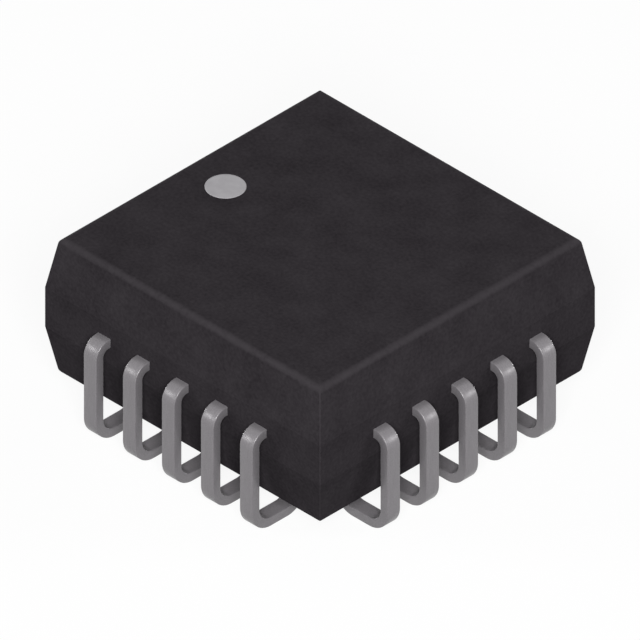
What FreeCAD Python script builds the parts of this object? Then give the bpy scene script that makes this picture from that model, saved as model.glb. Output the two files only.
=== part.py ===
import FreeCAD, Part
import math
import os

from FreeCAD import Placement, Rotation, Vector

# A square moulded chip carrier with J leads on all four sides. Millimetres, +Z up. The origin
# is the middle of the package on the plane of the solder lands, where the feet of the leads
# stand. Everything that repeats round the four sides is drawn once for the side that faces +X
# and turned about Z. Lead 1 is the middle one of the side that faces -X, and the numbers run
# anticlockwise seen from above.

# Lead pattern
leads_per_side = 5          # an odd number, so that lead 1 is in the middle of its side
lead_pitch = 1.27
lead_width = 0.41
strip_thickness = 0.25      # the leads and the die paddle are stamped from one strip

# Moulded body
corner_margin = 1.943       # from the middle of a side's last lead to the body's corner
standoff = 0.762            # from the solder lands up to the underside
lower_half = 1.905          # from the underside up to the middle of the strip
upper_half = 1.905          # from the middle of the strip up to the top
band_below = 0.577          # upright band of the sides, below the middle of the strip
band_above = 0.521          # the same above it
lower_draft = 10.0          # degrees that the sides lean in below the band
upper_draft = 9.7           # degrees that they lean in above it
edge_radius = 0.178         # round the top and round the underside
ejector_diameter = 1.6      # mark of the mould's ejector pin in the underside
ejector_depth = 0.05

# Leads outside the body
shoulder_stub = 0.05        # straight stretch between the body and the shoulder bend
shoulder_radius = 0.17      # inside radius of the shoulder bend
foot_radius = 0.37          # inside radius of the bends at both ends of the foot
foot_flat = 0.54            # length of the foot that stands on its solder land
tip_engagement = 0.14       # how far the tip reaches up into its pocket
pocket_clearance = 0.12     # round the tip, in the pocket of the underside
pocket_headroom = 0.20      # above the end of the tip

# Lead fingers inside the body
anchor_depth = 0.30         # from the body's side to the step that locks the finger in
anchor_width = 0.60
fan_depth = 0.75            # from the body's side to where the fingers turn to the paddle
finger_tip_width = 0.36
bond_flat = 0.45            # straight end of a finger, where its wire lands
tip_corner_margin = 0.24    # from the paddle's corner to the middle of the last finger tip
paddle_gap = 0.25           # between the paddle and the middle finger's tip
tip_stagger = 0.12          # each finger ends this much further out than its inner neighbour

# Die paddle and its four tie bars
paddle_size = 3.2
paddle_downset = 0.20       # the paddle lies this much lower than the fingers
tie_width = 0.30
tie_root = 0.30             # overlap of a tie bar with the paddle, at the paddle's corner
tie_flat = 0.15             # from the paddle's corner to the ramp
tie_ramp = 0.30             # length of the ramp, seen from above
tie_end_margin = 0.60       # a bar ends this far inside the body's corner

# Chip
die_size = 2.6
die_thickness = 0.30
attach_thickness = 0.03     # film of adhesive under the chip
attach_margin = 0.05        # the film shows this much round the chip

# Bond wires, drawn six-sided because they are finer than a hair
wire_sides = 6
wire_diameter = 0.03        # across the flats
ball_diameter = 0.09
ball_height = 0.034
pad_inset = 0.12            # from the chip's edge to the middle of a bond pad
pad_corner_margin = 0.40    # from the chip's corner to the last pad of a side
loop_height = 0.16          # of the wire's middle line above the chip
loop_radius = 0.06
stitch_setback = 0.15       # from the finger's tip to the end of the wire
stitch_length = 0.06        # stretch of the wire that lies on the finger

# Dot beside lead 1
dot_diameter = 1.0
dot_thickness = 0.02        # of the ink, which fills its recess
dot_margin = 1.477          # from the body's side to the middle of the dot
dot_aside = -0.07           # and along Y from the middle of that side

same_point = 1e-6           # points of an outline closer than this are one

# Places that follow from the sizes above
last_step = (leads_per_side - 1) // 2
side_face = last_step * lead_pitch + corner_margin
strip_middle = standoff + lower_half
strip_bottom = strip_middle - strip_thickness / 2
strip_top = strip_middle + strip_thickness / 2
body_top = strip_middle + upper_half
bend_start = side_face + shoulder_stub
lead_face = bend_start + shoulder_radius + strip_thickness
tip_back = lead_face - foot_flat - 2 * (foot_radius + strip_thickness)
tip_front = tip_back + strip_thickness
tip_end = standoff + tip_engagement
finger_tip_pitch = (paddle_size / 2 - tip_corner_margin) / last_step
paddle_top = strip_top - paddle_downset
chip_bottom = paddle_top + attach_thickness
chip_top = chip_bottom + die_thickness
pad_pitch = (die_size / 2 - pad_corner_margin) / last_step


def outline(corners):
    """Face in the XZ plane from corners given as (x, z, radius), joined by straight sides."""
    points = [Vector(x, 0, z) for x, z, _ in corners]
    bends = []
    for i, corner in enumerate(points):
        radius = corners[i][2]
        back = (points[i - 1] - corner).normalize()
        ahead = (points[(i + 1) % len(points)] - corner).normalize()
        half_angle = back.getAngle(ahead) / 2
        setback = radius / math.tan(half_angle)
        middle = corner + (back + ahead).normalize() * (radius / math.sin(half_angle) - radius)
        bends.append((corner + back * setback, middle, corner + ahead * setback))
    edges = []
    for i, (start, middle, end) in enumerate(bends):
        if corners[i][2] > 0:
            edges.append(Part.Arc(start, middle, end).toShape())
        following = bends[(i + 1) % len(bends)][0]
        if not end.isEqual(following, same_point):
            edges.append(Part.makeLine(end, following))
    return Part.Face(Part.Wire(edges))


def slab(points, bottom, height):
    """Plate with a straight-sided outline given as (x, y), from bottom upwards."""
    loop = [Vector(x, y, bottom) for x, y in points]
    return Part.Face(Part.makePolygon(loop + loop[:1])).extrude(Vector(0, 0, height))


def square_slab(size, bottom, height):
    """Square plate centred on the package."""
    return Part.makeBox(size, size, height, Vector(-size / 2, -size / 2, bottom))


def turned(shape, degrees):
    """Copy of a shape, turned about the package's upright axis."""
    copy = shape.copy()
    copy.Placement = Placement(Vector(), Rotation(Vector(0, 0, 1), degrees)).multiply(copy.Placement)
    return copy


def extruded(section, width, middle):
    """Solid from a section in the XZ plane, as wide as asked along Y about a middle."""
    section.translate(Vector(0, middle - width / 2, 0))
    return section.extrude(Vector(0, width, 0))


def lead_places():
    """Number, side angle and step from the middle of its side, of each lead."""
    places = []
    for side in range(4):
        for step in range(-last_step, last_step + 1):
            order = (side * leads_per_side + step) % (4 * leads_per_side)
            places.append((order + 1, 180 + 90 * side, step))
    return sorted(places)


def finger_tip(step):
    """Distance of a finger's tip from the middle of the package."""
    return paddle_size / 2 + paddle_gap + abs(step) * tip_stagger


def finger(step):
    """The part of a lead inside the body: an anchor, a run towards the paddle and a bond flat."""
    root = step * lead_pitch
    end = step * finger_tip_pitch
    tip = finger_tip(step)
    stations = [
        (bend_start, root, lead_width),
        (side_face - anchor_depth, root, lead_width),
        (side_face - anchor_depth, root, anchor_width),
        (side_face - fan_depth, root, anchor_width),
        (tip + bond_flat, end, finger_tip_width),
        (tip, end, finger_tip_width),
    ]
    left = [(x, middle + width / 2) for x, middle, width in stations]
    right = [(x, middle - width / 2) for x, middle, width in reversed(stations)]
    return slab(left + right, strip_bottom, strip_thickness)


def j_section():
    """Side view of a lead outside the body: shoulder, leg, foot and the tip that turns up."""
    foot_bend = foot_radius + strip_thickness
    return outline([
        (bend_start, strip_top, 0),
        (lead_face, strip_top, shoulder_radius + strip_thickness),
        (lead_face, 0, foot_bend),
        (tip_back, 0, foot_bend),
        (tip_back, tip_end, 0),
        (tip_front, tip_end, 0),
        (tip_front, strip_thickness, foot_radius),
        (lead_face - strip_thickness, strip_thickness, foot_radius),
        (lead_face - strip_thickness, strip_bottom, shoulder_radius),
        (bend_start, strip_bottom, 0),
    ])


def lead(step):
    """One stamped and formed lead of the side that faces +X."""
    bent = extruded(j_section(), lead_width, step * lead_pitch)
    return bent.fuse(finger(step)).removeSplitter()


def tie_bar():
    """Bar from the paddle's corner up its ramp to the strip's own level, drawn along +X."""
    corner = paddle_size / math.sqrt(2)
    root = corner - tie_root
    foot = corner + tie_flat
    head = foot + tie_ramp
    end = side_face * math.sqrt(2) - tie_end_margin
    shift = strip_thickness * math.tan(math.atan2(paddle_downset, tie_ramp) / 2)
    low = paddle_top - strip_thickness
    return extruded(outline([
        (root, low, 0),
        (foot, low, 0),
        (head, strip_bottom, 0),
        (end, strip_bottom, 0),
        (end, strip_top, 0),
        (head - shift, strip_top, 0),
        (foot - shift, paddle_top, 0),
        (root, paddle_top, 0),
    ]), tie_width, 0)


def die_paddle():
    """Plate that carries the chip, with a tie bar towards each corner of the body."""
    plate = square_slab(paddle_size, paddle_top - strip_thickness, strip_thickness)
    bars = [turned(tie_bar(), 45 + 90 * side) for side in range(4)]
    return plate.fuse(bars).removeSplitter()


def wire_path(length):
    """Middle line of a bond wire in its own upright plane, as (distance, height)."""
    peak = chip_top + loop_height
    on_finger = strip_top + wire_diameter / 2
    knee = loop_radius * (1 - math.cos(math.pi / 4))
    return [
        (0, chip_top + ball_height),
        (0, peak - loop_radius),
        (knee, peak - knee),
        (loop_radius, peak),
        (length - stitch_length, on_finger),
        (length, on_finger),
    ]


def wire_rings(path):
    """Centre, upright angle and stretch of the wire's cross-section at each point of its path."""
    headings = [math.atan2(end[1] - start[1], end[0] - start[0]) for start, end in zip(path, path[1:])]
    rings = []
    for i, centre in enumerate(path):
        before = headings[max(i - 1, 0)]
        after = headings[min(i, len(headings) - 1)]
        rings.append((centre, (before + after) / 2, 1 / math.cos((after - before) / 2)))
    return rings


def bond_wire(step):
    """Ball, loop and stitch from a pad of the chip to the finger of the same lead."""
    pad = Vector(die_size / 2 - pad_inset, step * pad_pitch, 0)
    landing = Vector(finger_tip(step) + stitch_setback, step * finger_tip_pitch, 0)
    along = (landing - pad).normalize()
    across = Vector(-along.y, along.x, 0)
    path = wire_path((landing - pad).Length)
    ball = [
        ((0, chip_top), math.pi / 2, 0.8 * ball_diameter / wire_diameter),
        ((0, chip_top + 0.4 * ball_height), math.pi / 2, ball_diameter / wire_diameter),
        ((0, chip_top + 0.8 * ball_height), math.pi / 2, 0.8 * ball_diameter / wire_diameter),
    ]
    corner_radius = wire_diameter / 2 / math.cos(math.pi / wire_sides)
    loops = []
    for i, ((distance, height), heading, stretch) in enumerate(ball + wire_rings(path)):
        centre = pad + along * distance + Vector(0, 0, height)
        normal = along * -math.sin(heading) + Vector(0, 0, math.cos(heading))
        widen = stretch if i < len(ball) else 1
        loops.append([
            centre
            + across * (corner_radius * widen * math.cos(turn))
            + normal * (corner_radius * stretch * math.sin(turn))
            for turn in [math.tau * k / wire_sides for k in range(wire_sides)]
        ])
    faces = [Part.Face(Part.makePolygon(loop + loop[:1])) for loop in (loops[0], loops[-1])]
    for lower, upper in zip(loops, loops[1:]):
        for k in range(wire_sides):
            following = (k + 1) % wire_sides
            quad = [lower[k], lower[following], upper[following], upper[k]]
            faces.append(Part.Face(Part.makePolygon(quad + quad[:1])))
    solid = Part.Solid(Part.makeShell(faces))
    if solid.Volume < 0:
        solid.reverse()
    return solid


def pin1_dot():
    """Disc of ink, flush with the top."""
    centre = Vector(dot_margin - side_face, dot_aside, body_top - dot_thickness)
    return Part.makeCylinder(dot_diameter / 2, dot_thickness, centre)


def body_blank():
    """The moulding without its recesses: two equal bars crossed, so that their rounded edges
    meet in mitres and the upright corners stay sharp."""
    band_bottom = strip_middle - band_below
    band_top = strip_middle + band_above
    foot = side_face - (band_bottom - standoff) * math.tan(math.radians(lower_draft))
    head = side_face - (body_top - band_top) * math.tan(math.radians(upper_draft))
    right = [
        (foot, standoff, edge_radius),
        (side_face, band_bottom, 0),
        (side_face, band_top, 0),
        (head, body_top, edge_radius),
    ]
    left = [(-x, z, radius) for x, z, radius in reversed(right)]
    bar = extruded(outline(right + left), 3 * side_face, 0)
    return bar.common(turned(bar, 90))


def tip_pocket(step):
    """Pocket in the underside that takes the tip of a lead."""
    depth = tip_engagement + pocket_headroom
    return Part.makeBox(
        strip_thickness + 2 * pocket_clearance,
        lead_width + 2 * pocket_clearance,
        depth,
        Vector(tip_back - pocket_clearance, step * lead_pitch - lead_width / 2 - pocket_clearance, standoff),
    )


def molded_body(inner_pieces):
    """The moulding, closed round everything that it holds."""
    pockets = [turned(tip_pocket(step), angle) for _, angle, step in lead_places()]
    ejector_mark = Part.makeCylinder(ejector_diameter / 2, ejector_depth, Vector(0, 0, standoff))
    return body_blank().cut(pockets + [ejector_mark]).cut(inner_pieces)


def build():
    """Every piece of the package by the name of its node."""
    pieces = {
        "die_paddle": die_paddle(),
        "die_attach": square_slab(die_size + 2 * attach_margin, paddle_top, attach_thickness),
        "silicon_die": square_slab(die_size, chip_bottom, die_thickness),
        "pin1_dot": pin1_dot(),
    }
    leads = {step: lead(step) for step in range(-last_step, last_step + 1)}
    wires = {step: bond_wire(step) for step in range(-last_step, last_step + 1)}
    for number, angle, step in lead_places():
        pieces[f"lead_{number:02d}"] = turned(leads[step], angle)
        pieces[f"bond_wire_{number:02d}"] = turned(wires[step], angle)
    pieces["molded_body"] = molded_body(list(pieces.values()))
    return pieces


os.makedirs("parts", exist_ok=True)
for name, piece in build().items():
    piece.exportStep(f"parts/{name}.step")
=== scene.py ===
"""A square moulded chip carrier with J leads on its four sides, dressed for its looks.

The outside is a black moulding with rounded edges, twenty formed leads and a dot of ink. What the
moulding holds, the chip on its paddle and the bond wires, keeps its place inside.
"""

import logging
import math
from collections.abc import Iterator, Mapping, Sequence
from dataclasses import dataclass
from enum import Enum
from functools import partial

import bmesh
import bpy
from bmesh.types import BMEdge, BMesh, BMVert
from bpy.types import Material, Mesh, Node, NodeSocket, NodeTree, Object
from mathutils import Matrix, Vector


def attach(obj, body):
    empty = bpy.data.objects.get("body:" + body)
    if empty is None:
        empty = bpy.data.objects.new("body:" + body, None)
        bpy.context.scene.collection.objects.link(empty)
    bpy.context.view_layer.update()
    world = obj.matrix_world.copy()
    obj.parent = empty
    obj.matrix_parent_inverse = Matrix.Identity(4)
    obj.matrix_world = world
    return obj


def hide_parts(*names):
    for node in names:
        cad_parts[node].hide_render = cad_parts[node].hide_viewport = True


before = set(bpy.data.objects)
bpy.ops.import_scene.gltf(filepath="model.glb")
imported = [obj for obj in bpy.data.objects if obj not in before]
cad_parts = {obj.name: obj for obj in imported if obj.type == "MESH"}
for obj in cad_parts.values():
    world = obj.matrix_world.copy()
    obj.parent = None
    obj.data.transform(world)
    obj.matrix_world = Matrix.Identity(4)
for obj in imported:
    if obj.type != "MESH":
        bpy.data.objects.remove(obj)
log = logging.getLogger("chip_carrier")

MM = 0.001
BODY = "root"
NOISE_DARK, NOISE_LIGHT = 0.3, 0.7
LEVEL = 1e-7                     # metres within which points are at one height
DOUBLE = 1e-8                    # metres within which points are one
CREASE = 35                      # degrees past which an edge stays sharp
WHITE = (1, 1, 1, 1)

# Numbers of a Mix node's inputs, and of its colour output, because their names repeat
SHARE, FIRST, SECOND, FIRST_COLOUR, SECOND_COLOUR = 0, 2, 3, 6, 7
MIXED_COLOUR = 2

# Sizes that several pieces share, in millimetres
LEADS_PER_SIDE = 5
PITCH = 1.27
SIDE_FACE = 4.483
TIP_MIDDLE = 3.298               # of a lead's tip and its pocket, from the middle of the body
BODY_TOP = 4.572
DOT_CENTRE = (-3.006, -0.07)
DOT_DEPTH = 0.02                 # of the recess that holds the dot

Point2 = tuple[float, float]
Triple = tuple[float, float, float]
Span = tuple[float, float]
Tones = tuple[str, str]
Inputs = Mapping[str | int, object]
Source = NodeSocket | Node       # a node stands for its first output


class Side(Enum):
    """The four sides in the order of the lead numbers, by the angle that each one faces."""

    LEFT = 180
    FRONT = 270
    RIGHT = 0
    BACK = 90


class Slot(Enum):
    """Names of the material slots of the pieces that are made here."""

    MOULDING = "mold_compound"
    LEAD = "tin_plated_lead"
    WIRE = "gold_wire"
    INK = "marking_ink"


# Small helpers


def feed(node: Node, inputs: Inputs) -> None:
    """Sets and links inputs of a node.

    Args:
        node: The node.
        inputs: By name or number of an input, its value, or the socket or node that feeds it.
    """
    for key, value in inputs.items():
        if isinstance(value, Node):
            value = value.outputs[0]
        if isinstance(value, NodeSocket):
            node.id_data.links.new(value, node.inputs[key])
        else:
            node.inputs[key].default_value = value


def add_node(tree: NodeTree, kind: str, inputs: Inputs | None = None, **settings: object) -> Node:
    """Adds one node to a tree, with its settings, its values and its links.

    Args:
        tree: The tree of a material, of the world or of a geometry group.
        kind: The node's type.
        inputs: What its inputs get, as feed says.
        settings: Values of the node's own properties.

    Returns:
        The new node.
    """
    node = tree.nodes.new(kind)
    for name, value in settings.items():
        setattr(node, name, value)
    feed(node, inputs or {})
    return node


def linear(colour: str) -> tuple[float, float, float, float]:
    """Turns an sRGB hex colour to linear RGBA.

    Args:
        colour: Six hex digits after a number sign.

    Returns:
        Linear red, green, blue and an alpha of 1.
    """
    channels = [int(colour[i:i + 2], 16) / 255 for i in (1, 3, 5)]
    curved = [c / 12.92 if c <= 0.04045 else ((c + 0.055) / 1.055) ** 2.4 for c in channels]
    return curved[0], curved[1], curved[2], 1.0


def per_metre(size: float) -> float:
    """Scale of a pattern whose features are as large as asked, in millimetres."""
    return 1 / (size * MM)


def noise_range(ends: Span) -> Inputs:
    """Inputs that map a noise to a span, from its dark places to its light ones."""
    return {"From Min": NOISE_DARK, "From Max": NOISE_LIGHT, "To Min": ends[0], "To Max": ends[1]}


def rounded_path(corners: Sequence[Triple], steps: int) -> list[Point2]:
    """Rounds the corners of an open path.

    Args:
        corners: First coordinate, second coordinate and radius of each corner. The two ends
            have no radius.
        steps: Straight pieces in each arc.

    Returns:
        The points of the path.
    """
    points: list[Point2] = []
    for i, (x, y, radius) in enumerate(corners):
        here = Vector((x, y))
        if radius == 0:
            points.append((x, y))
            continue
        back = (Vector(corners[i - 1][:2]) - here).normalized()
        ahead = (Vector(corners[i + 1][:2]) - here).normalized()
        half = back.angle(ahead) / 2
        centre = here + (back + ahead).normalized() * (radius / math.sin(half))
        start = here + back * (radius / math.tan(half)) - centre
        turn = start.angle_signed(here + ahead * (radius / math.tan(half)) - centre)
        for k in range(steps + 1):
            arm = Matrix.Rotation(-turn * k / steps, 2) @ start
            points.append((centre.x + arm.x, centre.y + arm.y))
    return points


def rounded_rectangle(half_x: float, half_y: float, radius: float, steps: int) -> list[Point2]:
    """Points of a rectangle with rounded corners, anticlockwise.

    Args:
        half_x: Half its length along x.
        half_y: Half its length along y.
        radius: Radius of its corners.
        steps: Straight pieces in each corner.

    Returns:
        The points, the same number for any size.
    """
    return [
        (
            sx * (half_x - radius) + radius * math.cos(math.pi / 2 * (quarter + k / steps)),
            sy * (half_y - radius) + radius * math.sin(math.pi / 2 * (quarter + k / steps)),
        )
        for quarter, (sx, sy) in enumerate([(1, 1), (-1, 1), (-1, -1), (1, -1)])
        for k in range(steps + 1)
    ]


def circle(radius: float, count: int) -> list[Point2]:
    """Points of a circle, anticlockwise.

    Args:
        radius: Its radius.
        count: How many points it has.

    Returns:
        The points.
    """
    return [
        (radius * math.cos(math.tau * k / count), radius * math.sin(math.tau * k / count))
        for k in range(count)
    ]


def loft(
    bm: BMesh, levels: Sequence[tuple[Sequence[Point2], float]], centre: Point2 = (0, 0)
) -> list[list[BMVert]]:
    """Joins closed outlines, each at its own height, by walls.

    Args:
        bm: The mesh that gets the walls.
        levels: Each outline in millimetres and its height.
        centre: Where the outlines are centred.

    Returns:
        The rings of vertices, one for each level.
    """
    rings = [
        [bm.verts.new(((x + centre[0]) * MM, (y + centre[1]) * MM, z * MM)) for x, y in outline]
        for outline, z in levels
    ]
    for lower, upper in zip(rings, rings[1:]):
        for k in range(len(lower)):
            after = (k + 1) % len(lower)
            bm.faces.new((lower[k], lower[after], upper[after], upper[k]))
    return rings


def route_mesh(
    stations: Sequence[Sequence[float]], lengths: Sequence[str], shares: Sequence[str] = ()
) -> Mesh:
    """Makes a line in the XZ plane for a geometry group to follow.

    Args:
        stations: The x and z of its points, and after them what each point carries.
        lengths: Names of the lengths that the points carry, in millimetres.
        shares: Names of the plain numbers after them.

    Returns:
        The line. It has no faces.
    """
    mesh = bpy.data.meshes.new("route")
    mesh.from_pydata(
        [(x * MM, 0, z * MM) for x, z, *_ in stations],
        [(k, k + 1) for k in range(len(stations) - 1)], [],
    )
    for column, name in enumerate((*lengths, *shares), 2):
        unit = MM if name in lengths else 1
        values = [station[column] * unit for station in stations]
        mesh.attributes.new(name, "FLOAT", "POINT").data.foreach_set("value", values)
    return mesh


def open_edges(bm: BMesh, height: float) -> list[BMEdge]:
    """Finds the edges that bound a flat face which is still open.

    Args:
        bm: The mesh.
        height: Height of the face in millimetres.

    Returns:
        The edges that have one face and lie there.
    """
    return [
        edge for edge in bm.edges
        if edge.is_boundary and all(abs(v.co.z - height * MM) < LEVEL for v in edge.verts)
    ]


def new_object(name: str, data: bpy.types.ID) -> Object:
    """Makes an object and puts it in the scene.

    Args:
        name: Its name.
        data: Its mesh, light or camera.

    Returns:
        The object, at the origin.
    """
    made = bpy.data.objects.new(name, data)
    bpy.context.scene.collection.objects.link(made)
    return made


def stand_off(held: Object, aim: Vector, towards: Sequence[float], distance: float) -> None:
    """Stands a light or the camera off from a point and turns it to face that point.

    Args:
        held: The light or the camera.
        aim: The point.
        towards: The direction that it stands in, seen from there.
        distance: How far off it stands, in metres.
    """
    direction = Vector(towards).normalized()
    held.location = aim + direction * distance
    held.rotation_euler = direction.to_track_quat("Z", "Y").to_euler()


def closed_mesh(bm: BMesh, material: Material) -> Mesh:
    """Merges a shell's doubles, turns its faces outwards and gives it a material.

    Args:
        bm: The shell, which is freed.
        material: What it is made of.

    Returns:
        The mesh.
    """
    bmesh.ops.remove_doubles(bm, verts=bm.verts, dist=DOUBLE)
    bmesh.ops.recalc_face_normals(bm, faces=bm.faces)
    mesh = bpy.data.meshes.new("shell")
    bm.to_mesh(mesh)
    bm.free()
    mesh.materials.append(material)
    return mesh


def settle(name: str, mesh: Mesh, slot: Slot, *nodes: str) -> None:
    """Makes a piece of a finished mesh, in place of its CAD nodes, and puts it on the body.

    It is shaded smooth, with its flat faces kept flat.

    Args:
        name: The piece's name.
        mesh: Its mesh, in place.
        slot: Not used.
        nodes: The CAD nodes that it stands for.
    """
    mesh.name = name
    mesh.shade_smooth()
    mesh.set_sharp_from_angle(angle=math.radians(CREASE))
    piece = new_object(name, mesh)
    even = piece.modifiers.new("even_normals", "WEIGHTED_NORMAL")
    even.keep_sharp = True
    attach(piece, BODY)
    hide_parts(*nodes)
    log.info("%s: %d faces", piece.name, len(piece.data.polygons))


# Finishes


class Surface:
    """A new material while a finish dresses it."""

    def __init__(self, name: str) -> None:
        """Starts the material.

        Args:
            name: What it is and how its surface was made.
        """
        self.material = bpy.data.materials.new(name)
        self.material.use_nodes = True
        self.add = partial(add_node, self.material.node_tree)
        self.shader = self.material.node_tree.nodes["Principled BSDF"]
        self.place = self.add("ShaderNodeTexCoord").outputs["Object"]

    def tone(self, pattern: Source, tones: Tones) -> NodeSocket:
        """Runs from one colour to another with a pattern.

        Args:
            pattern: A texture, or a mix of two.
            tones: The colours of its dark places and of its light ones.

        Returns:
            The colour.
        """
        share = self.add("ShaderNodeMapRange", {"Value": pattern, **noise_range((0, 1))})
        return self.add("ShaderNodeMix", {
            SHARE: share, FIRST_COLOUR: linear(tones[0]), SECOND_COLOUR: linear(tones[1]),
        }, data_type="RGBA").outputs[MIXED_COLOUR]

    def texture(
        self, pattern: Source, roughness: Span, depth: float = 0, relief: Source | None = None
    ) -> None:
        """Varies the roughness with a pattern and raises the surface.

        Args:
            pattern: A texture, or a mix of two.
            roughness: The roughness of its dark places and of its light ones.
            depth: How high the surface is raised, in millimetres.
            relief: What raises it, where that is another pattern.
        """
        rough = self.add("ShaderNodeMapRange", {"Value": pattern, **noise_range(roughness)})
        feed(self.shader, {"Roughness": rough})
        if depth:
            raised = self.add("ShaderNodeBump", {
                "Height": pattern if relief is None else relief, "Distance": depth * MM,
            })
            feed(self.shader, {"Normal": raised})


class Texture(Enum):
    """What a pattern is drawn with: a texture node and its settings."""

    GRAIN = ("ShaderNodeTexNoise", {})
    FLAKES = ("ShaderNodeTexVoronoi", {"distance": "EUCLIDEAN"})
    BLOCKS = ("ShaderNodeTexVoronoi", {"distance": "CHEBYCHEV"})


@dataclass(frozen=True)
class Pattern:
    """A texture over a surface, by the real size of its features in millimetres."""

    size: float
    layers: float = 0                # of finer features in it
    texture: Texture = Texture.GRAIN

    def lay(self, surface: Surface) -> Node:
        """Lays the pattern over a surface.

        Args:
            surface: What gets it.

        Returns:
            Its texture. A flake or a block is dark in its middle.
        """
        kind, settings = self.texture.value
        return surface.add(kind, {
            "Vector": surface.place, "Scale": per_metre(self.size), "Detail": self.layers,
        }, **settings)


@dataclass(frozen=True)
class Lines:
    """Noise drawn out to lines, by its real size along each axis and its finer layers."""

    sizes: Triple
    layers: float

    def lay(self, surface: Surface, place: Source | None = None) -> Node:
        """Lays the lines over a surface.

        Args:
            surface: What gets them.
            place: What they follow, where that is another map than the object's own axes.

        Returns:
            Their texture.
        """
        return surface.add("ShaderNodeTexNoise", {
            "Vector": surface.add("ShaderNodeMapping", {
                "Vector": surface.place if place is None else place,
                "Scale": [per_metre(size) for size in self.sizes],
            }),
            "Scale": 1.0,
            "Detail": self.layers,
        })


@dataclass(frozen=True)
class Finish:
    """A finish of one of the materials. Its kinds say what it is and how its surface was made."""

    name: str
    tones: Tones                     # colours of its pattern's dark places and of its light ones
    main_tone: int                   # which of them stands for it where no pattern is shown
    roughness: Span                  # of the same places

    def make(self) -> Material:
        """Builds the material.

        Returns:
            The material, patterned by Object coordinates or by the strip's own map.
        """
        surface = Surface(self.name)
        plain = linear(self.tones[self.main_tone])
        surface.material.diffuse_color = plain
        feed(surface.shader, {"Base Color": plain})
        self.dress(surface)
        return surface.material

    def dress(self, surface: Surface) -> None:
        """Sets the shader and feeds its patterns.

        Args:
            surface: What gets the finish.
        """
        raise NotImplementedError

    def cover(self, node: str) -> None:
        """Gives the finish to a CAD node, which keeps its shape.

        Args:
            node: The node's name.
        """
        material = self.make()
        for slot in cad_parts[node].material_slots:
            slot.material = material
        log.info("%s: %s", node, self.name)


@dataclass(frozen=True)
class PatternedFinish(Finish):
    """A finish whose colour, roughness and relief follow one pattern, or two."""

    pattern: Pattern | Lines
    relief: Pattern | None = None    # what the roughness and the relief follow, if not that one
    depth: float = 0.0               # of the relief, in millimetres
    metal: float = 0.0
    gloss: float = 0.5
    coat: float = 0.0
    coat_roughness: float = 0.03

    def dress(self, surface: Surface) -> None:
        """Feeds the shader from the patterns.

        Args:
            surface: What gets the finish.
        """
        pattern = self.pattern.lay(surface)
        feed(surface.shader, {
            "Base Color": surface.tone(pattern, self.tones),
            "Metallic": self.metal,
            "Specular IOR Level": self.gloss,
            "Coat Weight": self.coat,
            "Coat Roughness": self.coat_roughness,
        })
        relief = self.relief.lay(surface) if self.relief else pattern
        surface.texture(relief, self.roughness, self.depth)


@dataclass(frozen=True)
class MouldedEpoxy(Finish):
    """Epoxy filled with silica and carbon black, moulded against a spark-eroded cavity.

    The eye gets a near-black, faintly warm, matt skin with a fine even pebble, hardly any gloss,
    slow patches where the compound flowed, and edges smoothed by handling and painted a little
    paler, partly for handling and partly as a painted highlight.
    """

    name: str = "moulded_black_epoxy"
    tones: Tones = ("#272427", "#353235")
    main_tone: int = 0
    # Paler colour of the edges: partly rubbing by handling, partly a painted highlight
    edge_rubbing_and_highlight_tone: str = "#383538"
    ior: float = 1.55
    gloss: float = 0.01
    roughness: Span = (0.78, 0.88)
    smoothing: float = 0.22          # what rubbing takes off the roughness
    flow: Pattern = Pattern(0.9, 3)
    # The real pebble is about 0.02 mm wide. It is drawn coarser so that it shows.
    pebble: Pattern = Pattern(0.08, 1)
    pebble_share: float = 0.5
    pebble_depth: float = 0.008
    # Patches along the edges, in their smoothing and in their painted paleness
    edge_patches: Pattern = Pattern(0.16, 3)
    edge_patch_strength: Span = (0.55, 1.0)

    def dress(self, surface: Surface) -> None:
        """Mottles and pebbles the skin, and smooths the edges and paints them paler: rubbing and
        highlight.

        Args:
            surface: What gets the finish.
        """
        add = surface.add
        flow, pebble, edge_patches = (grain.lay(surface) for grain in (self.flow, self.pebble, self.edge_patches))
        mottle = add("ShaderNodeMix", {SHARE: self.pebble_share, FIRST: flow, SECOND: pebble})
        # Share of each point that is smoothed and painted paler: partly rubbing, partly a painted
        # highlight
        edge = add("ShaderNodeAttribute", attribute_name="wear").outputs["Fac"]
        patchy = add("ShaderNodeMapRange", {"Value": edge_patches, **noise_range(self.edge_patch_strength)})
        worn_and_highlighted = add("ShaderNodeMath", {0: edge, 1: patchy}, operation="MULTIPLY")
        skin = add("ShaderNodeMix", {
            SHARE: worn_and_highlighted,
            FIRST_COLOUR: surface.tone(mottle, self.tones),
            SECOND_COLOUR: linear(self.edge_rubbing_and_highlight_tone),
        }, data_type="RGBA").outputs[MIXED_COLOUR]
        matt = add("ShaderNodeMapRange", {"Value": pebble, **noise_range(self.roughness)})
        feed(surface.shader, {
            "Base Color": skin,
            "IOR": self.ior,
            "Specular IOR Level": self.gloss,
            "Roughness": add("ShaderNodeMath", {
                0: worn_and_highlighted, 1: -self.smoothing, 2: matt,
            }, operation="MULTIPLY_ADD"),
            "Normal": add("ShaderNodeBump", {
                "Height": pebble, "Distance": self.pebble_depth * MM,
            }),
        })


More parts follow.
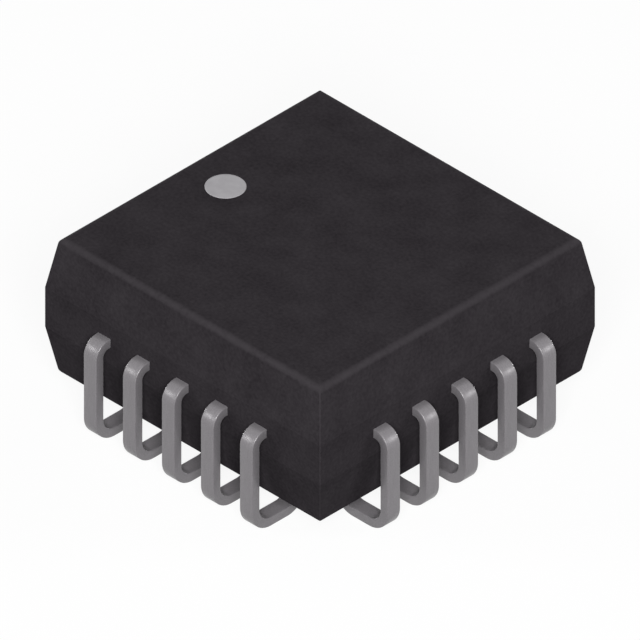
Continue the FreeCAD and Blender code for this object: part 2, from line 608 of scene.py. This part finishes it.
@dataclass(frozen=True)
class MattTin(Finish):
    """Matt tin, electroplated on a stamped copper strip that is then formed.

    The eye gets a soft grey metal without a mirror image, a fine crystalline grain and faint
    lines along the strip where the forming tool burnished it.
    """

    name: str = "matt_tin_plating"
    tones: Tones = ("#6a676a", "#7c797c")
    main_tone: int = 0
    metal: float = 0.12              # the dull crystals scatter most of the light
    roughness: Span = (0.37, 0.3)    # the forming tool burnishes its lines
    # The real crystals are about 0.005 mm wide. They are drawn coarser so that they show.
    crystals: Pattern = Pattern(0.03, 2)
    crystal_depth: float = 0.0012
    rubbing: Lines = Lines((0.025, 0.5, 1.0), 2)     # across the strip, along it, and not used
    rub_share: float = 0.35

    def dress(self, surface: Surface) -> None:
        """Crosses the crystals with the lines of the forming tool.

        Args:
            surface: What gets the finish.
        """
        lines = self.rubbing.lay(surface, surface.add("ShaderNodeUVMap", uv_map="strip"))
        both = surface.add("ShaderNodeMix", {
            SHARE: self.rub_share, FIRST: self.crystals.lay(surface), SECOND: lines,
        })
        feed(surface.shader, {
            "Base Color": surface.tone(both, self.tones), "Metallic": self.metal,
        })
        surface.texture(lines, self.roughness, self.crystal_depth, both)


@dataclass(frozen=True)
class PrintedInk(PatternedFinish):
    """Pale grey epoxy ink, pad-printed and cured.

    The eye gets a flat, dense light grey with a little orange peel and a soft sheen.
    """

    name: str = "printed_grey_ink"
    tones: Tones = ("#979598", "#a19fa2")
    main_tone: int = 1
    roughness: Span = (0.5, 0.62)
    pattern: Pattern = Pattern(0.25, 3)
    relief: Pattern = Pattern(0.08, 2)
    depth: float = 0.002
    gloss: float = 0.2


@dataclass(frozen=True)
class RolledCopperAlloy(PatternedFinish):
    """Bare copper alloy strip, cold rolled and stamped.

    The eye gets a warm brown metal with straight rolling lines.
    """

    name: str = "rolled_copper_alloy"
    tones: Tones = ("#a87252", "#c08a68")
    main_tone: int = 1
    roughness: Span = (0.3, 0.42)
    pattern: Lines = Lines((1.2, 0.03, 0.03), 3)
    depth: float = 0.001
    metal: float = 1.0


@dataclass(frozen=True)
class SilverFilledAdhesive(PatternedFinish):
    """Epoxy paste full of silver flakes, dispensed and cured.

    The eye gets a dull grey paste with small glints.
    """

    name: str = "silver_filled_adhesive"
    tones: Tones = ("#c4c4c0", "#8f8f8a")        # of the flakes and of the paste between them
    main_tone: int = 1
    roughness: Span = (0.4, 0.65)
    pattern: Pattern = Pattern(0.02, texture=Texture.FLAKES)
    depth: float = 0.002
    metal: float = 0.6


@dataclass(frozen=True)
class PassivatedSilicon(PatternedFinish):
    """Polished silicon under a glassy passivation.

    The eye gets a dark blue-grey mirror with a fine block pattern of circuitry under it.
    """

    name: str = "passivated_silicon"
    tones: Tones = ("#4a4c58", "#5c5a66")
    main_tone: int = 0
    roughness: Span = (0.12, 0.22)
    pattern: Pattern = Pattern(0.12, texture=Texture.BLOCKS)
    metal: float = 0.5
    coat: float = 0.5
    coat_roughness: float = 0.05


@dataclass(frozen=True)
class DrawnGold(PatternedFinish):
    """Fine gold, drawn to wire.

    The eye gets a bright yellow metal with a fine, faint grain.
    """

    name: str = "drawn_gold"
    tones: Tones = ("#dba844", "#f0c05c")
    main_tone: int = 1
    roughness: Span = (0.18, 0.3)
    pattern: Pattern = Pattern(0.01, 1)
    metal: float = 1.0


# Geometry groups


class GeometryGroup:
    """A geometry group with named inputs, whose result becomes a plain mesh."""

    def __init__(self, name: str) -> None:
        """Starts a group that has a geometry input and a geometry output.

        Args:
            name: What the group makes.
        """
        self.tree = bpy.data.node_groups.new(name, "GeometryNodeTree")
        self.add = partial(add_node, self.tree)
        self.sockets: dict[str, str] = {}
        for way in ("OUTPUT", "INPUT"):
            self.tree.interface.new_socket("Geometry", in_out=way, socket_type="NodeSocketGeometry")
        self.entry = self.add("NodeGroupInput")

    def sizes(self, *names: str, kind: str = "NodeSocketFloat") -> list[NodeSocket]:
        """Adds named inputs.

        Args:
            names: What each of them sets.
            kind: The type of their sockets.

        Returns:
            The sockets that give them inside the group.
        """
        for name in names:
            item = self.tree.interface.new_socket(name, in_out="INPUT", socket_type=kind)
            self.sockets[name] = item.identifier
        return [self.entry.outputs[name] for name in names]

    def bent_route(self) -> Node:
        """Makes a curve of the route that the group starts from, and rounds its bends.

        Returns:
            The curve. Each of its bends has the radius that its point carries.
        """
        return self.add("GeometryNodeFilletCurve", {
            "Curve": self.add("GeometryNodeMeshToCurve", {"Mesh": self.entry}),
            "Count": self.sizes("Bend steps", kind="NodeSocketInt")[0],
            "Radius": self.add("GeometryNodeInputNamedAttribute", {"Name": "bend"}),
        }, mode="POLY")

    def close(self, geometry: Source) -> None:
        """Ends the group with real geometry in the material that its last input names.

        Args:
            geometry: What the group made.
        """
        real = self.add("GeometryNodeRealizeInstances", {"Geometry": geometry})
        material = self.sizes("Material", kind="NodeSocketMaterial")[0]
        dressed = self.add("GeometryNodeSetMaterial", {"Geometry": real, "Material": material})
        self.add("NodeGroupOutput", {"Geometry": dressed})

    def result(self, source: Mesh, values: Mapping[str, object]) -> Mesh:
        """Runs the group on a mesh.

        Args:
            source: What it starts from.
            values: The named inputs, lengths in metres and angles in radians.

        Returns:
            The plain mesh that comes out, without the values that its making needed.
        """
        carrier = new_object("carrier", source)
        modifier = carrier.modifiers.new("shape", "NODES")
        modifier.node_group = self.tree
        for name, value in values.items():
            modifier[self.sockets[name]] = value
        depsgraph = bpy.context.evaluated_depsgraph_get()
        mesh = bpy.data.meshes.new_from_object(carrier.evaluated_get(depsgraph))
        carrier.modifiers.clear()
        bpy.data.objects.remove(carrier)
        for name in [a.name for a in mesh.attributes if a.data_type == "FLOAT"]:
            mesh.attributes.remove(mesh.attributes[name])
        return mesh


# Sub-assemblies


@dataclass
class Moulding:
    """The black moulding, in millimetres, as a stack of squares with its recesses."""

    finish: Finish
    side_face: float = SIDE_FACE
    underside: float = 0.762
    band_bottom: float = 2.090
    band_top: float = 3.188
    top: float = BODY_TOP
    lower_draft: float = 10.0        # degrees
    upper_draft: float = 9.7
    edge_radius: float = 0.178       # round the top and the underside
    edge_steps: int = 10
    knee_radius: float = 0.12        # where the drafts meet the upright band
    corner_radius: float = 0.03      # of the upright corners, which a real mould never leaves sharp
    corner_steps: int = 4
    # How much the edges and the upright corners are smoothed and painted paler, partly as rubbing
    # by handling and partly as a painted highlight
    edge_wear_and_highlight: tuple[float, ...] = (1.0, 0.4, 0.4, 1.0)      # of the edges from the underside up
    corner_wear_and_highlight: float = 0.6
    dot_centre: Point2 = DOT_CENTRE
    dot_radius: float = 0.5
    dot_depth: float = DOT_DEPTH
    ejector_radius: float = 0.8
    ejector_depth: float = 0.05
    round_steps: int = 96
    rim_share: float = 0.3           # of a round recess's depth that its rounded rim takes
    rim_steps: int = 3
    leads_per_side: int = LEADS_PER_SIDE
    pitch: float = PITCH
    pocket_from_middle: float = TIP_MIDDLE
    pocket_width: float = 0.65       # along the side
    pocket_depth: float = 0.49       # towards the middle
    pocket_height: float = 0.34
    pocket_rim: float = 0.03
    pocket_corner: float = 0.06
    pocket_draft: float = 3.0

    def section(self) -> list[Point2]:
        """Section of the side, from the flat of the underside to that of the top.

        Returns:
            Half-widths and heights.
        """
        foot = self.side_face - (self.band_bottom - self.underside) * math.tan(
            math.radians(self.lower_draft))
        head = self.side_face - (self.top - self.band_top) * math.tan(
            math.radians(self.upper_draft))
        inside = 2 * self.edge_radius
        return rounded_path([
            (foot - inside, self.underside, 0),
            (foot, self.underside, self.edge_radius),
            (self.side_face, self.band_bottom, self.knee_radius),
            (self.side_face, self.band_top, self.knee_radius),
            (head, self.top, self.edge_radius),
            (head - inside, self.top, 0),
        ], self.edge_steps)

    def wear(self, level: int, place: int) -> float:
        """How far handling has smoothed a point of the stack and how much it is painted paler,
        partly as rubbing and partly as a painted highlight: most in the middle of its edges.

        Args:
            level: Which ring the point is in, from the underside up.
            place: Where it is round the ring.

        Returns:
            From 0 on the flats to 1 on the edges.
        """
        bend, step = divmod(level - 1, self.edge_steps + 1)
        if bend not in range(len(self.edge_wear_and_highlight)):
            return 0.0
        corner = place % (self.corner_steps + 1)
        return max(
            self.edge_wear_and_highlight[bend] * math.sin(math.pi * step / self.edge_steps),
            self.corner_wear_and_highlight * math.sin(math.pi * corner / self.corner_steps),
        )

    def pocket(self) -> Mesh:
        """One pocket for the tip of a lead, open below, in the side that faces +X.

        Returns:
            A cup whose rim lies on the underside.
        """
        roof = self.underside + self.pocket_height
        lean = self.pocket_height * math.tan(math.radians(self.pocket_draft))
        flat = 2 * self.pocket_rim
        wall = rounded_path([
            (flat, self.underside, 0),
            (0, self.underside, self.pocket_rim),
            (-lean, roof, self.pocket_rim),
            (-lean - flat, roof, 0),
        ], self.rim_steps)
        bm = bmesh.new()
        rings = loft(bm, [
            (rounded_rectangle(
                self.pocket_depth / 2 + out, self.pocket_width / 2 + out,
                self.pocket_corner + out + flat + lean, self.corner_steps,
            ), z)
            for out, z in wall
        ], (self.pocket_from_middle, 0))
        bm.faces.new(rings[-1])
        mesh = bpy.data.meshes.new("pocket")
        bm.to_mesh(mesh)
        bm.free()
        return mesh

    def pocket_rows(self) -> GeometryGroup:
        """Repeats a pocket along one side and round the four sides.

        Returns:
            The group, which starts from one pocket.
        """
        group = GeometryGroup("pocket_rows")
        add = group.add
        pitch = group.sizes("Pitch")[0]
        count, sides = group.sizes("Pockets per side", "Sides", kind="NodeSocketInt")
        span = add("ShaderNodeMath", {0: count, 1: -0.5, 2: 0.5}, operation="MULTIPLY_ADD")
        first = add("ShaderNodeMath", {0: span, 1: pitch}, operation="MULTIPLY")
        row = add("GeometryNodeMeshLine", {
            "Count": count,
            "Start Location": add("ShaderNodeCombineXYZ", {"Y": first}),
            "Offset": add("ShaderNodeCombineXYZ", {"Y": pitch}),
        })
        pocket_row = add("GeometryNodeInstanceOnPoints", {"Points": row, "Instance": group.entry})
        turn = add("ShaderNodeMath", {0: math.tau, 1: sides}, operation="DIVIDE")
        index = add("GeometryNodeInputIndex")
        angle = add("ShaderNodeMath", {0: index, 1: turn}, operation="MULTIPLY")
        group.close(add("GeometryNodeInstanceOnPoints", {
            "Points": add("GeometryNodePoints", {"Count": sides}),
            "Instance": pocket_row,
            "Rotation": add("ShaderNodeCombineXYZ", {"Z": angle}),
        }))
        return group

    def recess(self, bm: BMesh, centre: Point2, radius: float, face: float, rise: float) -> None:
        """Sinks a round recess with a rounded rim into a flat face.

        Args:
            bm: The mesh of the moulding.
            centre: Where it is.
            radius: Its radius.
            face: Height of the face.
            rise: How far its floor is above the face, or below it where this is negative.
        """
        rim = self.rim_share * abs(rise)
        wall = rounded_path([
            (radius + 2 * rim, face, 0),
            (radius, face, rim),
            (radius, face + rise, rim),
            (radius - 2 * rim, face + rise, 0),
        ], self.rim_steps)
        rings = loft(bm, [(circle(r, self.round_steps), z) for r, z in wall], centre)
        bm.faces.new(rings[-1])

    def build(self) -> None:
        """Makes the moulding in place of its node."""
        material = self.finish.make()
        bm = bmesh.new()
        # Per-vertex share of the edge smoothing and of the painted highlight with its rubbing
        wear = bm.verts.layers.float.new("wear")
        rings = loft(bm, [
            (rounded_rectangle(half, half, self.corner_radius, self.corner_steps), z)
            for half, z in self.section()
        ])
        for level, ring in enumerate(rings):
            for k, vertex in enumerate(ring):
                vertex[wear] = self.wear(level, k)
        bm.from_mesh(self.pocket_rows().result(self.pocket(), {
            "Pitch": self.pitch * MM,
            "Pockets per side": self.leads_per_side,
            "Sides": len(Side),
            "Material": material,
        }))
        self.recess(bm, (0.0, 0.0), self.ejector_radius, self.underside, self.ejector_depth)
        self.recess(bm, self.dot_centre, self.dot_radius, self.top, -self.dot_depth)
        for height in (self.underside, self.top):
            bmesh.ops.triangle_fill(bm, use_beauty=True, edges=open_edges(bm, height))
        settle("moulded_body", closed_mesh(bm, material), Slot.MOULDING, "molded_body")


@dataclass
class LeadFrame:
    """The twenty leads and the paddle, stamped from one strip. Sizes in millimetres."""

    lead_finish: Finish
    paddle_finish: Finish
    leads_per_side: int = LEADS_PER_SIDE
    pitch: float = PITCH
    width: float = 0.41
    thickness: float = 0.25
    edge_radius: float = 0.022       # of the strip's edges after stamping and plating
    edge_steps: int = 3
    side_face: float = SIDE_FACE
    strip_middle: float = 2.667
    lead_middle: float = 4.828       # middle of the leg's thickness
    tip_middle: float = TIP_MIDDLE
    tip_end: float = 0.902
    shoulder_radius: float = 0.295   # of the strip's middle
    foot_radius: float = 0.495
    bend_steps: int = 14
    anchor_depth: float = 0.30
    anchor_width: float = 0.60
    anchor_end: float = 0.008        # length in which the width steps back
    fan_depth: float = 0.75
    finger_start: float = 1.85
    finger_stagger: float = 0.12
    finger_width: float = 0.36
    finger_pitch: float = 0.68
    bond_flat: float = 0.45

    def places(self) -> Iterator[tuple[int, Side, int]]:
        """Counts the leads round the body.

        Returns:
            The number of each, its side, and its step from the middle of that side.
        """
        total = len(Side) * self.leads_per_side
        last = (self.leads_per_side - 1) // 2
        for order, side in enumerate(Side):
            for step in range(-last, last + 1):
                yield (order * self.leads_per_side + step) % total + 1, side, step

    def finger_tip(self, step: int) -> Point2:
        """Where a finger ends beside the chip, in millimetres, for the side that faces +X."""
        return self.finger_start + abs(step) * self.finger_stagger, step * self.finger_pitch

    def route(self, step: int) -> Mesh:
        """Middle line of a lead, from the bond flat to the tip, for the side that faces +X.

        Args:
            step: Place of the lead, counted from the middle of its side.

        Returns:
            A line whose points say how wide the strip is there and how far it lies to the side.
        """
        level = self.strip_middle
        tip, finger_place = self.finger_tip(step)
        aside = finger_place - step * self.pitch
        finger = (self.finger_width - self.width) / 2
        anchor = (self.anchor_width - self.width) / 2
        step_in = self.side_face - self.anchor_depth
        stations = [
            (tip, level, 0, finger, aside),
            (tip + self.bond_flat, level, 0, finger, aside),
            (self.side_face - self.fan_depth, level, 0, anchor, 0),
            (step_in - self.anchor_end / 2, level, 0, anchor, 0),
            (step_in + self.anchor_end / 2, level, 0, 0, 0),
            (self.lead_middle, level, self.shoulder_radius, 0, 0),
            (self.lead_middle, self.thickness / 2, self.foot_radius, 0, 0),
            (self.tip_middle, self.thickness / 2, self.foot_radius, 0, 0),
            (self.tip_middle, self.tip_end, 0, 0, 0),
        ]
        return route_mesh(stations, ("bend", "wider", "aside"))

    def forming(self) -> GeometryGroup:
        """Sweeps the strip along its route, sets its widths and turns it to its side.

        Returns:
            The group, which starts from a route.
        """
        group = GeometryGroup("formed_lead")
        add = group.add
        width, thick, edge, along, turn = group.sizes(
            "Strip width", "Strip thickness", "Edge radius", "Place along the side", "Side angle"
        )
        edge_steps = group.sizes("Edge steps", kind="NodeSocketInt")[0]
        wider, aside, lengthwise, crosswise = (
            add("GeometryNodeInputNamedAttribute", {"Name": name})
            for name in ("wider", "aside", "along", "across")
        )
        blank = add("GeometryNodeCurvePrimitiveQuadrilateral", {"Width": width, "Height": thick})
        profile = add("GeometryNodeFilletCurve", {
            "Curve": blank, "Count": edge_steps, "Radius": edge,
        }, mode="POLY")
        path, section = (
            add("GeometryNodeStoreNamedAttribute", {
                "Geometry": curve,
                "Name": name,
                "Value": add("GeometryNodeSplineParameter").outputs["Length"],
            })
            for curve, name in ((group.bent_route(), "along"), (profile, "across"))
        )
        swept = add("GeometryNodeCurveToMesh", {
            "Curve": path, "Profile Curve": section, "Fill Caps": True,
        })
        place = add("ShaderNodeSeparateXYZ", {"Vector": add("GeometryNodeInputPosition")})
        hand = add("ShaderNodeMath", {0: place.outputs["Y"]}, operation="SIGN")
        widened = add("ShaderNodeMath", {0: hand, 1: wider, 2: aside}, operation="MULTIPLY_ADD")
        shift = add("ShaderNodeMath", {0: widened, 1: along}, operation="ADD")
        spread = add("GeometryNodeSetPosition", {
            "Geometry": swept, "Offset": add("ShaderNodeCombineXYZ", {"Y": shift}),
        })
        mapped = add("GeometryNodeStoreNamedAttribute", {
            "Geometry": spread,
            "Name": "strip",
            "Value": add("ShaderNodeCombineXYZ", {"X": crosswise, "Y": lengthwise}),
        }, data_type="FLOAT2", domain="CORNER")
        group.close(add("GeometryNodeTransform", {
            "Geometry": mapped, "Rotation": add("ShaderNodeCombineXYZ", {"Z": turn}),
        }))
        return group

    def build(self) -> None:
        """Makes the leads in place of their nodes and dresses the paddle."""
        material = self.lead_finish.make()
        group = self.forming()
        for number, side, step in self.places():
            mesh = group.result(self.route(step), {
                "Strip width": self.width * MM,
                "Strip thickness": self.thickness * MM,
                "Edge radius": self.edge_radius * MM,
                "Edge steps": self.edge_steps,
                "Bend steps": self.bend_steps,
                "Place along the side": step * self.pitch * MM,
                "Side angle": math.radians(side.value),
                "Material": material,
            })
            settle(f"formed_lead_{number:02d}", mesh, Slot.LEAD, f"lead_{number:02d}")
        self.paddle_finish.cover("die_paddle")


@dataclass
class PinOneDot:
    """The disc of ink in its shallow recess beside lead 1, in millimetres."""

    finish: Finish
    centre: Point2 = DOT_CENTRE
    radius: float = 0.486
    bottom: float = BODY_TOP - DOT_DEPTH
    top: float = BODY_TOP - 0.002    # a hair below the face round it
    rim: float = 0.012
    rim_inset: float = 0.06
    foot: float = 0.003
    foot_inset: float = 0.05
    doming: float = 0.002            # what the middle stands above the rim
    edge_steps: int = 4
    steps: int = 96

    def build(self) -> None:
        """Makes the disc in place of its node."""
        bm = bmesh.new()
        wall = rounded_path([
            (self.radius - self.foot_inset, self.bottom, 0),
            (self.radius, self.bottom, self.foot),
            (self.radius, self.top - self.doming, self.rim),
            (self.radius - self.rim_inset, self.top, 0),
        ], self.edge_steps)
        rings = loft(bm, [(circle(r, self.steps), z) for r, z in wall], self.centre)
        bm.faces.new(rings[0])
        bm.faces.new(rings[-1])
        settle("ink_dot", closed_mesh(bm, self.finish.make()), Slot.INK, "pin1_dot")


@dataclass
class BondWires:
    """The gold wires, each from a pad of the chip to the finger of its lead, in millimetres."""

    finish: Finish
    lead_frame: LeadFrame
    chip_top: float = 2.922
    chip_half: float = 1.3
    pad_inset: float = 0.12          # from the chip's edge
    pad_pitch: float = 0.45
    diameter: float = 0.03
    sides: int = 16
    ball_diameter: float = 0.09
    ball_height: float = 0.034
    ball_foot: float = 0.8           # width of the ball where it is pressed on the pad, as a share
    ball_steps: int = 8
    loop_height: float = 0.16
    loop_radius: float = 0.055
    landing_radius: float = 0.1
    bend_steps: int = 8
    stitch_setback: float = 0.15     # from the finger's tip to the end of the wire
    stitch_length: float = 0.06
    stitch_flat: float = 0.02        # the part of it that is pressed all the way
    stitch_flattening: float = 0.6   # how much of its height the tool presses out of the wire's end
    stitch_spreading: float = 0.5    # and how much wider it gets there

    def route(self, length: float) -> Mesh:
        """Middle line of a wire in its own upright plane, from the pad outwards.

        Args:
            length: Distance from the pad to the wire's end, seen from above.

        Returns:
            A line whose points carry the radius of a bend, the wire's radius, and how much the
            wire is pressed flat there.
        """
        wire = self.diameter / 2
        level = self.lead_frame.strip_middle + self.lead_frame.thickness / 2 + wire
        foot, neck = -math.acos(self.ball_foot), math.acos(self.diameter / self.ball_diameter)
        stations = []
        for k in range(self.ball_steps + 1):
            turn = foot + (neck - foot) * k / self.ball_steps
            share = (math.sin(turn) - math.sin(foot)) / (math.sin(neck) - math.sin(foot))
            stations.append((
                0, self.chip_top + self.ball_height * share,
                0, self.ball_diameter / 2 * math.cos(turn), 0,
            ))
        stations += [
            (0, self.chip_top + self.loop_height, self.loop_radius, wire, 0),
            (length - self.stitch_length, level, self.landing_radius, wire, 0),
            (length - self.stitch_flat, level, 0, wire, 1),
            (length, level, 0, wire, 1),
        ]
        return route_mesh(stations, ("bend", "thick"), ("pressed",))

    def bonding(self) -> GeometryGroup:
        """Sweeps a wire along its route, presses its end flat and puts it in place.

        Returns:
            The group, which starts from a route.
        """
        group = GeometryGroup("bonded_wire")
        add = group.add
        finger, flattening, spreading, heading, pad_out, pad_aside, turn = group.sizes(
            "Finger level", "Flattening", "Spreading", "Heading",
            "Pad from the middle", "Pad along the side", "Side angle",
        )
        thick, pressed = (
            add("GeometryNodeInputNamedAttribute", {"Name": name}) for name in ("thick", "pressed")
        )
        section = add("GeometryNodeCurvePrimitiveCircle", {
            "Resolution": group.sizes("Sides", kind="NodeSocketInt")[0], "Radius": 1.0,
        })
        swept = add("GeometryNodeCurveToMesh", {
            "Curve": group.bent_route(), "Profile Curve": section, "Scale": thick,
            "Fill Caps": True,
        })
        place = add("ShaderNodeSeparateXYZ", {"Vector": add("GeometryNodeInputPosition")})
        above = add("ShaderNodeMath", {0: finger, 1: place.outputs["Z"]}, operation="SUBTRACT")
        down, wider = (
            add("ShaderNodeMath", {
                0: reach,
                1: add("ShaderNodeMath", {0: pressed, 1: share}, operation="MULTIPLY"),
            }, operation="MULTIPLY")
            for reach, share in ((above, flattening), (place.outputs["Y"], spreading))
        )
        stitched = add("GeometryNodeSetPosition", {
            "Geometry": swept, "Offset": add("ShaderNodeCombineXYZ", {"Y": wider, "Z": down}),
        })
        on_pad = add("GeometryNodeTransform", {
            "Geometry": stitched,
            "Translation": add("ShaderNodeCombineXYZ", {"X": pad_out, "Y": pad_aside}),
            "Rotation": add("ShaderNodeCombineXYZ", {"Z": heading}),
        })
        group.close(add("GeometryNodeTransform", {
            "Geometry": on_pad, "Rotation": add("ShaderNodeCombineXYZ", {"Z": turn}),
        }))
        return group

    def build(self) -> None:
        """Makes the wires in place of their nodes."""
        material = self.finish.make()
        group = self.bonding()
        for number, side, step in self.lead_frame.places():
            pad = Vector((self.chip_half - self.pad_inset, step * self.pad_pitch))
            run = Vector(self.lead_frame.finger_tip(step)) + Vector((self.stitch_setback, 0)) - pad
            mesh = group.result(self.route(run.length), {
                "Sides": self.sides,
                "Bend steps": self.bend_steps,
                "Finger level": (self.lead_frame.strip_middle + self.lead_frame.thickness / 2) * MM,
                "Flattening": self.stitch_flattening,
                "Spreading": self.stitch_spreading,
                "Heading": math.atan2(run.y, run.x),
                "Pad from the middle": pad.x * MM,
                "Pad along the side": pad.y * MM,
                "Side angle": math.radians(side.value),
                "Material": material,
            })
            settle(f"gold_wire_{number:02d}", mesh, Slot.WIRE, f"bond_wire_{number:02d}")


@dataclass
class Chip:
    """The chip on its adhesive. Both keep the shapes of their nodes."""

    chip_finish: Finish
    adhesive_finish: Finish

    def build(self) -> None:
        """Dresses the nodes."""
        self.chip_finish.cover("silicon_die")
        self.adhesive_finish.cover("die_attach")


# Studio


@dataclass
class SoftLight:
    """A rectangular soft light, by the direction that it stands in. Its sizes are in metres."""

    name: str
    towards: Triple
    level: float                 # of a white surface that faces it, where 1 is white
    width: float
    height: float
    distance: float = 0.25

    def build(self, aim: Vector) -> None:
        """Sets the light up.

        Args:
            aim: The point that it faces.
        """
        data = bpy.data.lights.new(self.name, "AREA")
        data.shape = "RECTANGLE"
        data.size, data.size_y = self.width, self.height
        data.energy = self.level * (math.pi * self.distance) ** 2
        stand_off(new_object(self.name, data), aim, self.towards, self.distance)


@dataclass
class Studio:
    """A plain pale floor, soft lights and the camera, with sizes in millimetres."""

    view_width: float = 14.730       # across the picture
    aim_height: float = 2.262
    floor_half: float = 300.0
    camera_towards: Triple = (1, -1, 1)          # the isometric direction
    camera_distance: float = 200.0
    clip: Span = (1.0, 2000.0)
    floor_colour: str = "#f2f2f2"
    seen_white: float = 0.9          # share of plain white in the floor that is seen
    floor_bounce: float = 0.05       # grey of the floor for diffuse light
    fill: float = 0.02               # how bright the surroundings are for diffuse light
    lights: tuple[SoftLight, ...] = (
        SoftLight("key", (1, -1, 0.95), 1.42, 0.10, 0.10),
        SoftLight("left_box", (-1, -1.2, 0.6), 0.26, 0.08, 0.08),
        SoftLight("right_box", (1.2, 1, 0.6), 0.26, 0.08, 0.08),
        SoftLight("back_left_strip", (-1, 0.1, 0.05), 0.7, 0.12, 0.02),
        SoftLight("back_right_strip", (-0.1, 1, 0.05), 0.7, 0.12, 0.02),
    )

    def seen(self, tree: NodeTree) -> Node:
        """Tells the rays that see a surface from those that only light the object.

        Args:
            tree: The tree of a material or of the world.

        Returns:
            One for rays from the camera and for those mirrored or let through, else nought.
        """
        path = add_node(tree, "ShaderNodeLightPath")
        mirrored = add_node(tree, "ShaderNodeMath", {
            0: path.outputs["Is Glossy Ray"], 1: path.outputs["Is Transmission Ray"],
        }, operation="MAXIMUM")
        return add_node(tree, "ShaderNodeMath", {
            0: path.outputs["Is Camera Ray"], 1: mirrored,
        }, operation="MAXIMUM")

    def surroundings(self) -> None:
        """White where they are seen, dimmer where they only light the object."""
        world = bpy.data.worlds.new("studio")
        world.use_nodes = True
        tree = world.node_tree
        strength = add_node(tree, "ShaderNodeMapRange", {
            "Value": self.seen(tree), "To Min": self.fill, "To Max": 1.0,
        })
        feed(tree.nodes["Background"], {"Color": WHITE, "Strength": strength})
        bpy.context.scene.world = world

    def floor(self) -> None:
        """A flat pale floor at the level of the lands that keeps the object's shadow."""
        half = self.floor_half * MM
        mesh = bpy.data.meshes.new("floor")
        mesh.from_pydata(
            [(-half, -half, 0), (half, -half, 0), (half, half, 0), (-half, half, 0)],
            [], [(0, 1, 2, 3)],
        )
        material = bpy.data.materials.new("pale_matt_floor")
        material.use_nodes = True
        tree = material.node_tree
        paint = tree.nodes["Principled BSDF"]
        feed(paint, {
            "Base Color": linear(self.floor_colour), "Roughness": 1.0, "Specular IOR Level": 0.0,
        })
        white = add_node(tree, "ShaderNodeEmission", {"Color": WHITE, "Strength": 1.0})
        dark = add_node(tree, "ShaderNodeBsdfDiffuse", {"Color": (*[self.floor_bounce] * 3, 1)})
        bright = add_node(tree, "ShaderNodeMixShader", {0: self.seen_white, 1: paint, 2: white})
        floor = add_node(tree, "ShaderNodeMixShader", {0: self.seen(tree), 1: dark, 2: bright})
        feed(tree.nodes["Material Output"], {"Surface": floor})
        mesh.materials.append(material)
        stage = new_object("floor", mesh)

    def camera(self, aim: Vector) -> None:
        """Sets up the camera of the picture.

        Args:
            aim: The point that it faces.
        """
        data = bpy.data.cameras.new("camera")
        data.type = "ORTHO"
        data.ortho_scale = self.view_width * MM
        data.clip_start, data.clip_end = (end * MM for end in self.clip)
        camera = new_object("camera", data)
        stand_off(camera, aim, self.camera_towards, self.camera_distance * MM)
        bpy.context.scene.camera = camera

    def build(self) -> None:
        """Sets up the surroundings, the floor, the lights and the camera."""
        aim = Vector((0, 0, self.aim_height * MM))
        self.surroundings()
        self.floor()
        for light in self.lights:
            light.build(aim)
        self.camera(aim)
        bpy.context.scene.view_settings.view_transform = "Standard"


def corners(box: tuple[Vector, Vector]) -> list[list[float]]:
    """A box's two corners as plain lists."""
    return [list(corner) for corner in box]


def main() -> None:
    """Builds and dresses the object and its studio."""
    logging.basicConfig(level=logging.INFO, format="%(message)s")
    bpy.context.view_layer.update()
    lead_frame = LeadFrame(MattTin(), RolledCopperAlloy())
    for part in (
        Moulding(MouldedEpoxy()),
        lead_frame,
        PinOneDot(PrintedInk()),
        Chip(PassivatedSilicon(), SilverFilledAdhesive()),
        BondWires(DrawnGold(), lead_frame),
        Studio(),
    ):
        part.build()


if __name__ == "__main__":
    main()
